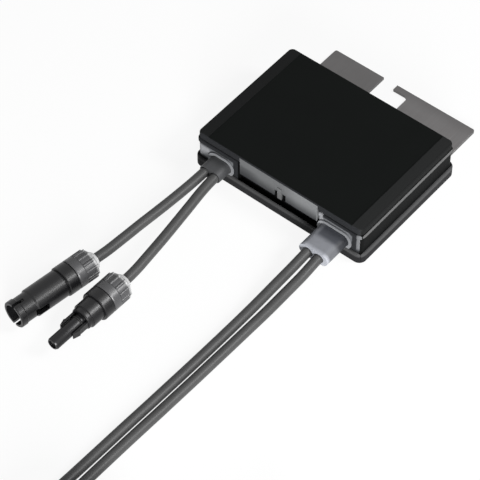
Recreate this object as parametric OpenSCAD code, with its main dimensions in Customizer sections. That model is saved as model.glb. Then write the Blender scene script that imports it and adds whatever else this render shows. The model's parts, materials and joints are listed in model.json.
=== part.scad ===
// Module-level DC power optimizer, lying flat on its back with its leads laid out.
// Origin: centre of the base footprint, on the surface that it lies on.
// +X runs along the cable side, -Y is the cable side, +Y the bracket side, +Z is up.

/* [Housing] */
// Width of the base rim, along the cable side
body_w = 128; // [122:1:140]
// Depth of the base rim, cable side to bracket side
body_d = 94.4; // [92:0.2:104]
// Height over the cover
body_h = 28; // [27:0.5:34]
// Height of the base rim
base_h = 7.5; // [7:0.1:8]
// How far the base rim stands out past the walls
rim_step = 1.7; // [1:0.1:2]
// Corner radius of the base rim
corner_r = 5; // [4.5:0.1:6]
// Thickness of the housing and cover walls
wall = 2.4; // [2:0.1:2.6]
// Base floor left above the bracket plate
floor_t = 2.4; // [2:0.1:2.6]
// Height of the cover's skirt, from its lower edge to the top
skirt_h = 4.4; // [4:0.1:6]
// Thickness of the cover's top
lid_t = 2; // [1.6:0.1:2.2]
// Rounding of the cover's top edge
lid_edge = 1.2; // [0.6:0.1:1.4]
// Rounding of the base rim's top edge
rim_edge = 1; // [0.5:0.1:1.4]
// Border left at each side of the sunk panel on the cover
panel_border = 7.8; // [5:0.2:12]
// Depth of the sunk panel on the cover
panel_sink = 0.4; // [0.2:0.1:0.6]
// Thickness of the cover gasket, the dark seam under the skirt
gasket_t = 0.8; // [0.5:0.1:1]
// How far the gasket lies back from both faces of the wall
gasket_inset = 0.5; // [0.3:0.1:0.7]
// How far the bead under the seam stands out
bead_out = 0.8; // [0.4:0.1:1]
// Height of the bead under the seam
bead_h = 2.4; // [2:0.1:3]

/* [Front] */
// Distance from each gland's middle to the cover's apron
apron_gap = 13.9; // [13.5:0.1:16]
// Height of the apron, from its lower edge to the cover's top
apron_h = 15; // [12:0.5:16]
// Thickness of the apron
apron_t = 2.2; // [1.8:0.1:2.6]
// Place of the snap tongue along the apron
snap_x = 1.5; // [-4:0.5:4]
// Width of the snap tongue
snap_w = 3.2; // [2.6:0.1:4]
// How far the snap tongue stands out
snap_out = 0.6; // [0.4:0.1:1]
// Notch on each side of the snap tongue
notch_w = 2.6; // [2:0.1:3]
// Height of the notches
notch_h = 5; // [4:0.1:6]
// Slit at each end of the apron
slit_w = 1.9; // [1:0.1:2]
// Depth of the channel in the base under the apron
channel_depth = 3.6; // [2.5:0.1:4]
// Thickness of the lip in front of the channel
channel_lip = 1.2; // [1:0.1:1.6]
// How far the front wall is set back behind the apron
groove_depth = 5; // [4:0.1:5.5]

/* [Glands] */
// Distance of each gland's middle from the base's side
gland_inset = 20.8; // [20.4:0.1:21.4]
// Height of the gland sleeves
gland_h = 9; // [8.4:0.1:9.6]
// Width of the input gland's sleeve
in_gland_w = 15.6; // [15:0.1:18]
// Width of the output gland's sleeve
out_gland_w = 21; // [18:0.1:22]
// How far the input gland stands out from the wall
in_gland_out = 11.5; // [8:0.5:16]
// How far the output gland stands out from the wall
out_gland_out = 21; // [16:0.5:26]
// Spacing of the two input leads
in_pitch = 7.5; // [7:0.1:8]
// Spacing of the two output leads
out_pitch = 8; // [7:0.1:10]
// How far the inner flange of a gland reaches past its sleeve
flange_lip = 1.2; // [0.8:0.1:1.6]
// Thickness of the inner flange of a gland
flange_t = 2; // [1.5:0.1:2.5]
// Thickness of the arch moulded round each gland
arch_t = 2.2; // [1.6:0.1:2.6]
// How far the arch stands out from the wall
arch_out = 1.2; // [0.8:0.1:1.4]

/* [Bracket] */
// Thickness of the bracket plate
plate_t = 2; // [1.6:0.1:2.4]
// Width of the bracket's tab behind the base
tab_w = 108.5; // [100:0.5:116]
// How far the tab reaches past the base
tab_out = 34.1; // [30:0.1:44]
// Width of the tongue let into the base
tongue_w = 92; // [80:1:100]
// How far the tongue reaches under the base
tongue_in = 37; // [34:1:40]
// Left edge of the bolt slot
slot_x = -16; // [-20:0.5:-12]
// Width of the bolt slot
slot_w = 22; // [18:0.5:26]
// Width of the slot's open mouth
mouth_w = 10.5; // [9:0.5:12]
// Depth of the bolt slot from the tab's outer edge
slot_depth = 24; // [20:0.5:28]
// Thickness of the hook beside the mouth
hook_t = 4.4; // [3.5:0.1:6]
// Corner radius in the slot
slot_r = 3; // [2:0.5:4]
// Spacing of the bracket screws along the cable side
plate_screw_x = 72; // [60:1:76]
// Distance of the first screw row from the tongue's end
plate_screw_in = 7; // [6:0.5:8]
// Spacing of the two screw rows
plate_screw_y = 22; // [18:1:23]

/* [Circuit board] */
// Space between the board's ends and the walls
board_gap = 7.9; // [7.5:0.1:9]
// Depth of the board
board_d = 70; // [68:1:72]
// How far the board's middle lies towards the bracket side
board_y = 1; // [0:0.5:2]
// Thickness of the board
board_t = 1.6; // [1.2:0.1:1.8]
// Height of the standoffs under the board
standoff_h = 3; // [2.6:0.1:3]
// Distance of the board screws from the board's ends
board_screw_in = 5; // [4:0.5:6]
// Spacing of the board screws across it
board_screw_y = 50; // [46:1:52]
// Length of a lead terminal
terminal_l = 8; // [6:0.5:9]
// Width of a lead terminal
terminal_w = 6; // [5:0.1:6.4]
// Height of a lead terminal
terminal_h = 6.4; // [6:0.1:8]

/* [Leads] */
// Outside diameter of the leads
cable_d = 6.4; // [5.5:0.1:6.5]
// Radial clearance of a lead in its bores
cable_gap = 0.2; // [0.1:0.05:0.3]

/* [Connectors] */
// Diameter of the cap nut over its ribs
nut_d = 19.2; // [18:0.2:19.4]
// Length of the cap nut
nut_l = 17; // [15.5:0.1:17]
// Ribs round the cap nut
nut_ribs = 12; // [8:1:16]
// Length of the cable seal's lip behind the nut
lip_l = 3; // [2.5:0.1:3.4]
// Diameter of the connector's collar
collar_d = 19.2; // [18:0.2:19.6]
// Length of the connector's collar
collar_l = 7.4; // [6:0.1:7.8]
// Diameter of the connector's waist
waist_d = 16; // [15.2:0.2:16.4]
// Length of the connector from the end of its lead's run to the tip
connector_l = 60; // [58:0.5:63]
// Outside diameter of the hood
hood_d = 17.8; // [17.2:0.2:18.2]
// Bore of the hood
hood_bore = 13.4; // [12.8:0.1:13.6]
// Depth of the hood's bore
hood_depth = 23; // [21:0.5:24]
// Diameter of the nose
nose_d = 8; // [7.8:0.1:8.2]
// Length of the nose
nose_l = 25; // [23:0.5:26]
// Diameter of the contact pin
pin_d = 4; // [3.6:0.1:4]
// Length of the latch arms
latch_l = 17; // [15:0.5:18]
// Width of the latch arms
latch_w = 4.6; // [4:0.1:5]
// Thickness of the latch arms
latch_t = 1.5; // [1.2:0.1:1.5]

/* [Screws] */
// Diameter of the screws that hold the housing together
screw_d = 3; // [2.5:0.1:3]
// Head diameter of those screws
screw_head_d = 5.6; // [5:0.1:6]
// Head height of those screws
screw_head_h = 2; // [1.6:0.1:2.2]
// Diameter of the countersunk bracket screws
plate_screw_d = 4; // [3:0.1:4]
// Clearance between fitted pieces
fit = 0.2; // [0.1:0.05:0.25]

/* [Hidden] */
$fn = 48;
eps = 0.01;
black = [0.05, 0.055, 0.055];
dark = [0.12, 0.125, 0.13];
steel = [0.62, 0.61, 0.6];
brass = [0.75, 0.62, 0.35];
tin = [0.72, 0.73, 0.74];

// Housing planes and outlines
wall_w = body_w - 2 * rim_step;
wall_d = body_d - 2 * rim_step;
wall_r = corner_r - rim_step;
front_y = -wall_d / 2;
lid_z = body_h - skirt_h;
wall_top = lid_z - gasket_t;
floor_z = plate_t + floor_t;
cavity_w = wall_w - 2 * wall;
cavity_d = wall_d - 2 * wall;
cavity_r = max(0.6, wall_r - wall);
lid_under = body_h - lid_t;
panel_w = wall_w - 2 * panel_border;
gland_x = body_w / 2 - gland_inset;
apron_w = 2 * (gland_x - apron_gap);
recess_w = apron_w + 2 * slit_w;
boss_r = 3.2;
post_r = boss_r + 2 * fit;
post_x = cavity_w / 2 - boss_r - fit;
post_rear_y = 34;
post_front_y = -30;
post_split_z = floor_z + 13;
screw_seat_z = screw_head_h + 0.4;
screw_end_z = lid_under - 1.4;

// Glands and leads
gland_lift = 0.2;
lead_z = base_h + gland_lift + gland_h / 2;
lead_start_y = -35.5;
flange_back_y = front_y + wall;
flange_from = recess_w / 2 + wall + fit;
flange_to = cavity_w / 2 - fit;

// Circuit board
board_w = cavity_w - 2 * board_gap;
board_screw_x = board_w - 2 * board_screw_in;
board_z = floor_z + standoff_h;
board_top = board_z + board_t;
board_front = board_y - board_d / 2;

// Bracket
rear_y = body_d / 2;
tab_end = rear_y + tab_out;
tongue_end = rear_y - tongue_in;
plate_screw_rows = [tongue_end + plate_screw_in, tongue_end + plate_screw_in + plate_screw_y];
plate_screw_end = board_z - 0.8;
plate_boss_r = 4;

// Connector stations, measured along its axis from the end of its lead's run
nut_s = 2.2;
nut_back = 4;
spigot_s = 10;
spigot_r = 6.1;
nut_bore_r = 6.4;
seal_neck_r = 4.2;
seal_flare = 0.6;
shell_s = nut_l + 0.3;
waist_s = shell_s + collar_l;
barrel_s = 14;
barrel_r = cable_d / 2 + fit;
barrel_end = 25;
hood_s = connector_l - hood_depth;
nose_s = connector_l - nose_l;
contact_end = connector_l - 8;
socket_end = connector_l - 2;
socket_wall = 0.5;
ring_s = nose_s + 4;
ring_r = 0.5;
arm_r = 6;

// Where each connector's nut ends, and its heading from -Y towards +X in degrees
in_hood_at = [-gland_x - 11.6, -149.1, nut_d / 2];
in_hood_turn = -8;
in_nose_at = [-gland_x + 12.6, -150.1, nut_d / 2];
in_nose_turn = -1.2;
out_hood_at = [gland_x + 104.6, -286, nut_d / 2];
out_nose_at = [gland_x + 84, -298, nut_d / 2];
out_turn = 180;

// Coil of the output leads: one lead on each radius, the outer one with a turn less
coil_at = [gland_x + 25.8, -318];
coil_outer_r = 36;
coil_inner_r = 28;
coil_base = 1.4;
coil_end_d = cable_d - 0.2;
coil_pitch = cable_d + 0.1;
coil_outer_turns = 2.25;
coil_inner_turns = 3.25;
coil_start_z = coil_base + cable_d / 2;
outer_end_z = coil_start_z + coil_outer_turns * coil_pitch;
inner_end_z = coil_start_z + coil_inner_turns * coil_pitch;
tie_t = 1.2;
tie_w = 4.2;
tie_angles = [45, 225];

// Where the leads leave the glands, and the heights that they lie at
in_left_x = -gland_x - in_pitch / 2;
in_right_x = -gland_x + in_pitch / 2;
out_left_x = gland_x - out_pitch / 2;
out_right_x = gland_x + out_pitch / 2;
in_exit_y = front_y - in_gland_out;
out_exit_y = front_y - out_gland_out;
low_z = cable_d / 2;
under_z = low_z + 0.4;
plug_z = nut_d / 2;

// Route points, measured from the middle of the gland
function from_input(p) = [p[0] - gland_x, p[1], p[2]];
function from_output(p) = [p[0] + gland_x, p[1], p[2]];

// Routes of the leads, from the terminal to the connector or coil
in_left_route = [
    [in_left_x, lead_start_y, lead_z], [in_left_x, -46, lead_z], [in_left_x, in_exit_y - 1, lead_z],
    from_input([-4, -70, 12.1]), from_input([-4.9, -83, 11.6]), from_input([-6.2, -97, 11]),
    from_input([-7.7, -111, 10.4]), from_input([-9, -126, 9.9]), from_input([-10.2, -139.2, plug_z]),
    in_hood_at, along(in_hood_at, in_hood_turn, barrel_s)];
in_right_route = [
    [in_right_x, lead_start_y, lead_z], [in_right_x, -46, lead_z],
    [in_right_x, in_exit_y - 1, lead_z], from_input([4.7, -70, 12.1]), from_input([6.3, -83, 11.6]),
    from_input([8, -97, 11]), from_input([9.6, -111, 10.4]), from_input([11.1, -126, 9.9]),
    from_input([12.3, -139, plug_z]), in_nose_at, along(in_nose_at, in_nose_turn, barrel_s)];
out_left_route = [
    [out_left_x, lead_start_y, lead_z], [out_left_x, -52, lead_z], [out_left_x, out_exit_y - 1, lead_z],
    from_output([-4.1, -82, 11]), from_output([-5, -96, 8.5]), from_output([-6, -112, 5.6]),
    from_output([-6.8, -128, 3.8]), from_output([-7.2, -142, low_z]), from_output([-7.4, -158, low_z]),
    from_output([-7.7, -174, low_z]), from_output([-8.1, -190, low_z]), from_output([-8.5, -206, low_z]),
    from_output([-9, -222, low_z]), from_output([-9.4, -238, low_z]), from_output([-9.8, -254, low_z]),
    from_output([-10.1, -268, low_z + 0.2]), from_output([-10.2, -281, low_z + 1]),
    from_output([-10.2, -290, coil_start_z]), from_output([-10.2, -296, coil_start_z])];
out_right_route = [
    [out_right_x, lead_start_y, lead_z], [out_right_x, -52, lead_z],
    [out_right_x, out_exit_y - 1, lead_z], from_output([4.3, -82, 11]), from_output([3.4, -96, 8.5]),
    from_output([2.2, -112, 5.6]), from_output([1.1, -128, 3.8]), from_output([0.6, -142, low_z]),
    from_output([0.3, -158, low_z]), from_output([0, -174, low_z]), from_output([-0.4, -190, low_z]),
    from_output([-0.8, -206, low_z]), from_output([-1.3, -222, low_z]), from_output([-1.7, -238, low_z]),
    from_output([-2, -254, low_z]), from_output([-2.2, -268, low_z]),
    from_output([-2.2, -282, low_z + 0.1]), from_output([-2.2, -292, under_z]),
    from_output([-2.2, -298, under_z])];
left_tail_route = [
    from_output([47.8, -354, outer_end_z]), from_output([53, -354, outer_end_z]),
    from_output([65, -351.8, 17.9]), from_output([77.5, -346.2, 15.3]), from_output([89, -336.6, 12.7]),
    from_output([97.8, -323, 10.8]), from_output([103, -306.5, 9.9]), out_hood_at,
    along(out_hood_at, out_turn, barrel_s)];
right_tail_route = [
    from_output([55.8, -346, inner_end_z]), from_output([58.8, -346, inner_end_z]),
    from_output([67.4, -344.5, 24.2]), from_output([75, -340.1, 20.6]), from_output([80.6, -333.4, 16.6]),
    from_output([83.6, -325.2, 13.2]), from_output([84, -312, 10.3]), out_nose_at,
    along(out_nose_at, out_turn, barrel_s)];

// Point at a distance along a connector's axis
function along(at, turn, s) = at + s * [sin(turn), -cos(turn), 0];
function unit(v) = v / norm(v);
function tangent(p, i) =
    unit(p[min(i + 1, len(p) - 1)] - p[max(i - 1, 0)]);
function tube_ring(p, i, r, sides) =
    let (t = tangent(p, i), side = unit(cross(t, [0, 0, 1])), top = cross(side, t))
    [for (k = [0 : sides - 1]) p[i] + r * (cos(k * 360 / sides) * side + sin(k * 360 / sides) * top)];

// A lead swept along its route
module tube(route, d = cable_d, sides = 10) {
    n = len(route);
    polyhedron(
        points = [for (i = [0 : n - 1]) each tube_ring(route, i, d / 2, sides)],
        faces = concat(
            [[for (k = [0 : sides - 1]) k]],
            [for (i = [0 : n - 2], k = [0 : sides - 1])
                [i * sides + k, (i + 1) * sides + k, (i + 1) * sides + (k + 1) % sides]],
            [for (i = [0 : n - 2], k = [0 : sides - 1])
                [i * sides + k, (i + 1) * sides + (k + 1) % sides, i * sides + (k + 1) % sides]],
            [[for (k = [sides - 1 : -1 : 0]) (n - 1) * sides + k]]));
}

// Rectangle with round corners
module round_rect(w, d, r) {
    square([w - 2 * r, d], center = true);
    square([w, d - 2 * r], center = true);
    for (x = [-1, 1], y = [-1, 1])
        translate([x * (w / 2 - r), y * (d / 2 - r)])
            circle(r);
}

// Oblong with round ends
module oblong(w, h) {
    square([w - h, h], center = true);
    for (x = [-1, 1])
        translate([x * (w - h) / 2, 0])
            circle(h / 2);
}

// Upper outline of a slab with rounded top edges
module rounded_top(w, h, e) {
    translate([-w / 2, 0])
        square([w, h - e]);
    translate([-w / 2 + e, 0])
        square([w - 2 * e, h]);
    for (x = [-1, 1])
        translate([x * (w / 2 - e), h - e])
            circle(e);
}

// Slab with round corners and a rounded top edge
module soft_slab(w, d, h, r, e) {
    rotate([90, 0, 0])
        linear_extrude(d - 2 * r, center = true)
            rounded_top(w, h, e);
    rotate([90, 0, 90])
        linear_extrude(w - 2 * r, center = true)
            rounded_top(d, h, e);
    for (x = [-1, 1], y = [-1, 1])
        translate([x * (w / 2 - r), y * (d / 2 - r), 0])
            rotate_extrude() {
                square([r, h - e]);
                square([r - e, h]);
                translate([r - e, h - e])
                    intersection() {
                        circle(e);
                        translate([-e, 0])
                            square(2 * e);
                    }
            }
}

module at_posts() {
    for (x = [-1, 1], y = [post_front_y, post_rear_y])
        translate([x * post_x, y, 0])
            children();
}

module at_plate_screws() {
    for (x = [-1, 1], y = plate_screw_rows)
        translate([x * plate_screw_x / 2, y, 0])
            children();
}

module at_board_screws() {
    for (x = [-1, 1], y = [-1, 1])
        translate([x * board_screw_x / 2, board_y + y * board_screw_y / 2, 0])
            children();
}

// Space behind the apron, open to the front
module front_recess(grow = 0) {
    translate([-recess_w / 2 - grow, -body_d, 0])
        square([recess_w + 2 * grow, body_d + front_y + groove_depth + grow]);
}

// Plan of the housing wall
module wall_plan(inset = 0) {
    difference() {
        difference() {
            round_rect(wall_w - 2 * inset, wall_d - 2 * inset, max(0.6, wall_r - inset));
            front_recess(inset);
        }
        difference() {
            round_rect(cavity_w + 2 * inset, cavity_d + 2 * inset, max(0.6, cavity_r));
            front_recess(wall - inset);
        }
    }
}

// Shapes that follow a gland's sleeve, extruded towards -Y from a plane
module gland_block(x, from_y, length, w, h) {
    translate([x, from_y, lead_z])
        rotate([90, 0, 0])
            linear_extrude(length)
                oblong(w, h);
}

module base_tray() {
    color(black)
        difference() {
            union() {
                difference() {
                    soft_slab(body_w, body_d, base_h, corner_r, rim_edge);
                    difference() {
                        translate([0, 0, floor_z])
                            linear_extrude(base_h)
                                round_rect(cavity_w, cavity_d, cavity_r);
                        translate([0, 0, floor_z - 1])
                            linear_extrude(base_h + 2)
                                front_recess(wall);
                    }
                }
                at_board_screws()
                    translate([0, 0, floor_z - eps])
                        cylinder(r = 3.2, h = standoff_h + eps);
                at_posts()
                    translate([0, 0, floor_z - eps])
                        cylinder(r = post_r, h = base_h - floor_z + eps);
                at_plate_screws()
                    translate([0, 0, floor_z - eps])
                        cylinder(r = plate_boss_r, h = plate_screw_end - floor_z + 0.3);
            }
            translate([-tongue_w / 2 - fit, tongue_end - fit, -1])
                cube([tongue_w + 2 * fit, body_d, plate_t + 1]);
            translate([-recess_w / 2 + 0.4, channel_lip - body_d / 2, base_h - channel_depth])
                cube([recess_w - 0.8, groove_depth + rim_step - channel_lip - 0.6, base_h]);
            at_plate_screws()
                cylinder(d = plate_screw_d + fit, h = plate_screw_end);
            at_board_screws()
                translate([0, 0, plate_t + 1])
                    cylinder(d = screw_d + fit, h = base_h);
            at_posts() {
                translate([0, 0, -1])
                    cylinder(d = screw_d + 2 * fit, h = base_h + 1);
                translate([0, 0, -1])
                    cylinder(d = screw_head_d + 2 * fit, h = screw_seat_z + 1);
            }
        }
}

module housing_frame() {
    color(dark)
        difference() {
            union() {
                translate([0, 0, base_h])
                    linear_extrude(wall_top - base_h)
                        wall_plan();
                difference() {
                    translate([0, 0, wall_top - bead_h])
                        soft_slab(wall_w + 2 * bead_out, wall_d + 2 * bead_out, bead_h,
                                  wall_r + bead_out, bead_out);
                    translate([0, 0, base_h])
                        linear_extrude(body_h) {
                            round_rect(wall_w - wall, wall_d - wall, wall_r);
                            front_recess();
                        }
                }
                at_posts()
                    translate([0, 0, base_h])
                        cylinder(r = post_r, h = post_split_z - base_h);
                for (g = [[-gland_x, in_gland_w], [gland_x, out_gland_w]])
                    intersection() {
                        gland_block(g[0], front_y + wall / 2, arch_out + wall / 2,
                                    g[1] + 2 * arch_t, gland_h + 2 * arch_t);
                        translate([-body_w / 2, -body_d, base_h])
                            cube([body_w, 2 * body_d, body_h]);
                    }
            }
            for (g = [[-gland_x, in_gland_w], [gland_x, out_gland_w]])
                gland_block(g[0], front_y + 2 * wall, 4 * wall, g[1] + 2 * fit, gland_h + 2 * fit);
            at_posts()
                cylinder(d = screw_d + 2 * fit, h = body_h);
        }
}

module top_cover() {
    apron_z = body_h - apron_h;
    snap_h = lid_z - apron_z - 1.6;
    color(black)
        difference() {
            union() {
                difference() {
                    translate([0, 0, lid_z])
                        soft_slab(wall_w, wall_d, skirt_h, wall_r, lid_edge);
                    translate([0, 0, lid_z - 1])
                        linear_extrude(skirt_h - lid_t + 1)
                            difference() {
                                round_rect(cavity_w, cavity_d, cavity_r);
                                front_recess(wall);
                            }
                }
                translate([-apron_w / 2, front_y, apron_z])
                    cube([apron_w, apron_t, lid_z - apron_z + 1]);
                translate([snap_x - snap_w / 2, front_y - snap_out, apron_z])
                    cube([snap_w, snap_out + apron_t / 2, snap_h]);
                at_posts()
                    translate([0, 0, post_split_z])
                        cylinder(r = boss_r, h = lid_under - post_split_z + eps);
            }
            at_posts()
                cylinder(d = screw_d + fit, h = screw_end_z + fit);
            for (k = [-1, 1])
                translate([snap_x + k * (snap_w + notch_w) / 2, front_y, apron_z])
                    cube([notch_w, 3 * apron_t, 2 * notch_h], center = true);
            translate([-panel_w / 2, -body_d, body_h - panel_sink])
                cube([panel_w, 2 * body_d, 1]);
        }
}

module cover_gasket() {
    color([0.03, 0.03, 0.03])
        translate([0, 0, wall_top])
            linear_extrude(gasket_t)
                intersection() {
                    wall_plan(gasket_inset);
                    difference() {
                        round_rect(wall_w, wall_d, wall_r);
                        front_recess();
                    }
                }
}

// Pan head with a cross-shaped drive, shank upwards
module pan_screw(d, length, head_d, head_h) {
    difference() {
        union() {
            cylinder(d = head_d, h = head_h);
            translate([0, 0, head_h - eps])
                cylinder(d = d, h = length + eps);
        }
        for (a = [0, 90])
            rotate(a)
                translate([0, 0, head_h * 0.3])
                    cube([head_d * 0.6, d * 0.25, head_h * 1.2], center = true);
    }
}

module housing_screws() {
    color(steel)
        at_posts()
            translate([0, 0, screw_seat_z - screw_head_h])
                pan_screw(screw_d, screw_end_z - screw_seat_z, screw_head_d, screw_head_h);
}

module mounting_bracket() {
    mouth_y = tab_end - hook_t;
    slot_end = tab_end - slot_depth;
    head_h = plate_t - 0.3;
    color(steel)
        difference() {
            linear_extrude(plate_t)
                difference() {
                    union() {
                        translate([-tongue_w / 2, tongue_end])
                            square([tongue_w, tongue_in + 1]);
                        translate([0, (rear_y + fit + tab_end) / 2])
                            round_rect(tab_w, tab_end - rear_y - fit, 1.5);
                    }
                    translate([slot_x + slot_w / 2, (slot_end + mouth_y) / 2])
                        round_rect(slot_w, mouth_y - slot_end, slot_r);
                    translate([slot_x, slot_end + slot_r])
                        square([mouth_w, slot_depth]);
                }
            at_plate_screws() {
                translate([0, 0, -1])
                    cylinder(d = plate_screw_d + fit, h = plate_t + 2);
                translate([0, 0, -eps])
                    cylinder(d1 = plate_screw_d + 2 * head_h + 2 * fit, d2 = plate_screw_d + fit,
                             h = head_h + eps);
            }
        }
}

module bracket_screws() {
    head_h = plate_t - 0.3;
    color(tin)
        at_plate_screws()
            difference() {
                union() {
                    cylinder(d1 = plate_screw_d + 2 * head_h, d2 = plate_screw_d, h = head_h);
                    translate([0, 0, head_h - eps])
                        cylinder(d = plate_screw_d, h = plate_screw_end - head_h - fit);
                }
                translate([0, 0, -eps])
                    cylinder(d = 2.6, h = head_h, $fn = 6);
            }
}

module circuit_board() {
    color([0.08, 0.3, 0.14])
        translate([0, board_y, board_z])
            linear_extrude(board_t)
                difference() {
                    round_rect(board_w, board_d, 2);
                    for (x = [-1, 1], y = [-1, 1])
                        translate([x * board_screw_x / 2, y * board_screw_y / 2])
                            circle(d = screw_d + 2 * fit);
                }
}

module board_screws() {
    color(tin)
        at_board_screws()
            translate([0, 0, board_top + screw_head_h])
                mirror([0, 0, 1])
                    pan_screw(screw_d, board_t + standoff_h, screw_head_d, screw_head_h);
}

pad_w = 52;
pad_d = 40;
pad_y = 8;
module thermal_pad() {
    color([0.6, 0.68, 0.75])
        translate([-pad_w / 2, pad_y - pad_d / 2, floor_z])
            cube([pad_w, pad_d, standoff_h]);
}

// Ferrite core: two plates, a round middle leg and two outer legs
core_w = 34;
core_d = 26;
core_plate = 2.6;
core_leg = 3.4;
core_h = 13;
core_post = 12;
core_gap = 11;
inductor_at = [core_gap + core_w / 2 - board_w / 2, 14];
module inductor_core() {
    color([0.2, 0.2, 0.21])
        translate([inductor_at[0], inductor_at[1], board_top]) {
            for (z = [0, core_h - core_plate])
                translate([-core_w / 2, -core_d / 2, z])
                    cube([core_w, core_d, core_plate]);
            cylinder(d = core_post, h = core_h);
            for (x = [-1, 1])
                translate([x * (core_w - core_leg) / 2, 0, core_h / 2])
                    cube([core_leg, core_d, core_h], center = true);
        }
}

module inductor_winding() {
    color([0.72, 0.4, 0.2])
        translate([inductor_at[0], inductor_at[1], board_top + core_plate + fit])
            difference() {
                cylinder(d = core_w - 2 * core_leg - 1, h = core_h - 2 * core_plate - 2 * fit);
                translate([0, 0, -1])
                    cylinder(d = core_post + 2 * fit, h = core_h);
            }
}

film_w = 18;
film_d = 7;
film_h = 12;
film_pitch = 10;
film_at = [11, 7.5];
module film_capacitors() {
    color([0.75, 0.6, 0.2])
        for (i = [0 : 2])
            translate([film_at[0], film_at[1] + i * film_pitch, board_top])
                linear_extrude(film_h)
                    round_rect(film_w, film_d, 0.8);
}

can_d = 10;
can_h = 14;
can_pitch = 11.5;
can_at = [28.5, 17];
can_groove_z = 2;
can_groove_r = 0.5;
module bulk_capacitors() {
    color([0.15, 0.16, 0.3])
        for (i = [0 : 1])
            translate([can_at[0] + i * can_pitch, can_at[1], board_top])
                difference() {
                    cylinder(d = can_d, h = can_h);
                    translate([0, 0, can_groove_z])
                        rotate_extrude()
                            translate([can_d / 2 + can_groove_r / 2, 0])
                                circle(can_groove_r);
                }
}

transistor_w = 10;
transistor_d = 9;
transistor_h = 4.4;
transistor_pitch = 13;
transistor_at = [-16, -12];
module power_transistors() {
    color([0.06, 0.06, 0.06])
        for (i = [0 : 3])
            translate([transistor_at[0] + i * transistor_pitch, transistor_at[1], board_top])
                linear_extrude(transistor_h)
                    round_rect(transistor_w, transistor_d, 0.5);
}

chip_w = 14;
chip_h = 1.4;
chip_at = [34, 2];
module control_chip() {
    color([0.06, 0.06, 0.06])
        translate([chip_at[0], chip_at[1], board_top])
            linear_extrude(chip_h)
                round_rect(chip_w, chip_w, 0.4);
}

line_w = 14;
line_d = 16;
line_h = 10;
line_at = [1 - board_w / 2 + line_w / 2, -12];
module line_transformer() {
    color([0.1, 0.1, 0.1])
        translate([line_at[0], line_at[1], board_top])
            linear_extrude(line_h)
                round_rect(line_w, line_d, 1);
}

// Solder terminals on the board, where the leads end
module terminals(x, pitch) {
    color(brass)
        for (k = [-1, 1])
            translate([x + k * pitch / 2 - terminal_w / 2, lead_start_y, board_top])
                cube([terminal_w, terminal_l, terminal_h]);
}

module input_terminals() {
    terminals(-gland_x, in_pitch);
}

module output_terminals() {
    terminals(gland_x, out_pitch);
}

// Oblong sleeve with a bore for each lead and a flange inside the wall
module gland(x, w, out, pitch) {
    difference() {
        union() {
            gland_block(x, flange_back_y, wall + out, w, gland_h);
            intersection() {
                gland_block(x, flange_back_y + flange_t, flange_t, w + 2 * flange_lip,
                            gland_h + 2 * flange_lip);
                translate([x > 0 ? flange_from : -flange_to, -body_d, base_h + gland_lift / 2])
                    cube([flange_to - flange_from, body_d, body_h]);
            }
        }
        for (k = [-1, 1])
            translate([x + k * pitch / 2, 0, lead_z])
                rotate([90, 0, 0])
                    cylinder(d = cable_d + 2 * cable_gap, h = body_d);
    }
}

module input_gland() {
    color([0.2, 0.2, 0.21])
        gland(-gland_x, in_gland_w, in_gland_out, in_pitch);
}

module output_gland() {
    color([0.62, 0.63, 0.65])
        gland(gland_x, out_gland_w, out_gland_out, out_pitch);
}

module lead(route) {
    color([0.2, 0.2, 0.2])
        tube(route);
}

// Ring that a coil's turns fill, with a straight start and end
module coil_ring(r, turns, start_l, start_z, end_l, end_z) {
    translate(coil_at) {
        rotate_extrude()
            translate([r - cable_d / 2, coil_base])
                square([cable_d, turns * coil_pitch + cable_d]);
        translate([-r, 0, start_z])
            rotate([-90, 0, 0])
                cylinder(d = coil_end_d, h = start_l);
        translate([0, -r, end_z])
            rotate([0, 90, 0])
                cylinder(d = coil_end_d, h = end_l);
    }
}

module lead_coil_outer() {
    color([0.2, 0.2, 0.2])
        difference() {
            coil_ring(coil_outer_r, coil_outer_turns, 22, coil_start_z, 22, outer_end_z);
            translate([coil_at[0] - coil_inner_r - cable_d / 2 - fit, coil_at[1], 0])
                cube([cable_d + 2 * fit, 40, coil_start_z + cable_d / 2 + fit]);
        }
}

module lead_coil_inner() {
    color([0.2, 0.2, 0.2])
        coil_ring(coil_inner_r, coil_inner_turns, 20, under_z, 30, inner_end_z);
}

module coil_ties() {
    reach = cable_d / 2 + fit;
    inner = coil_inner_r - reach;
    outer = coil_outer_r + reach;
    outer_top = outer_end_z + reach;
    inner_top = inner_end_z + reach;
    color([0.08, 0.08, 0.08])
        for (a = tie_angles)
            translate(coil_at)
                rotate([90, 0, a])
                    linear_extrude(tie_w, center = true)
                        difference() {
                            offset(delta = tie_t)
                                tie_outline(inner, outer, inner_top, outer_top);
                            tie_outline(inner, outer, inner_top, outer_top);
                        }
}

module tie_outline(inner, outer, inner_top, outer_top) {
    polygon([[inner, tie_t], [outer, tie_t], [outer, outer_top],
             [coil_inner_r + cable_d / 2 + fit, inner_top], [inner, inner_top]]);
}

// Puts a connector drawn along +Z at its place, lying level
module lay(at, turn) {
    translate(at)
        rotate([90, 0, turn])
            children();
}

module cap_nut() {
    r = nut_d / 2;
    difference() {
        union() {
            rotate_extrude()
                polygon([[0, nut_s], [r - 1.7, nut_s], [r - 0.7, nut_s + 0.8], [r - 0.7, nut_l - 6],
                         [r, nut_l - 5.4], [r, nut_l - 0.6], [r - 0.4, nut_l], [0, nut_l]]);
            for (i = [0 : nut_ribs - 1])
                rotate(i * 360 / nut_ribs)
                    translate([r - 1.1, 0, nut_s + 1])
                        cylinder(r = 1.1, h = nut_l - nut_s - 6.8);
        }
        translate([0, 0, -1])
            cylinder(r = seal_neck_r + fit, h = nut_l);
        translate([0, 0, nut_back])
            cylinder(r = nut_bore_r, h = nut_l);
    }
}

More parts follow.
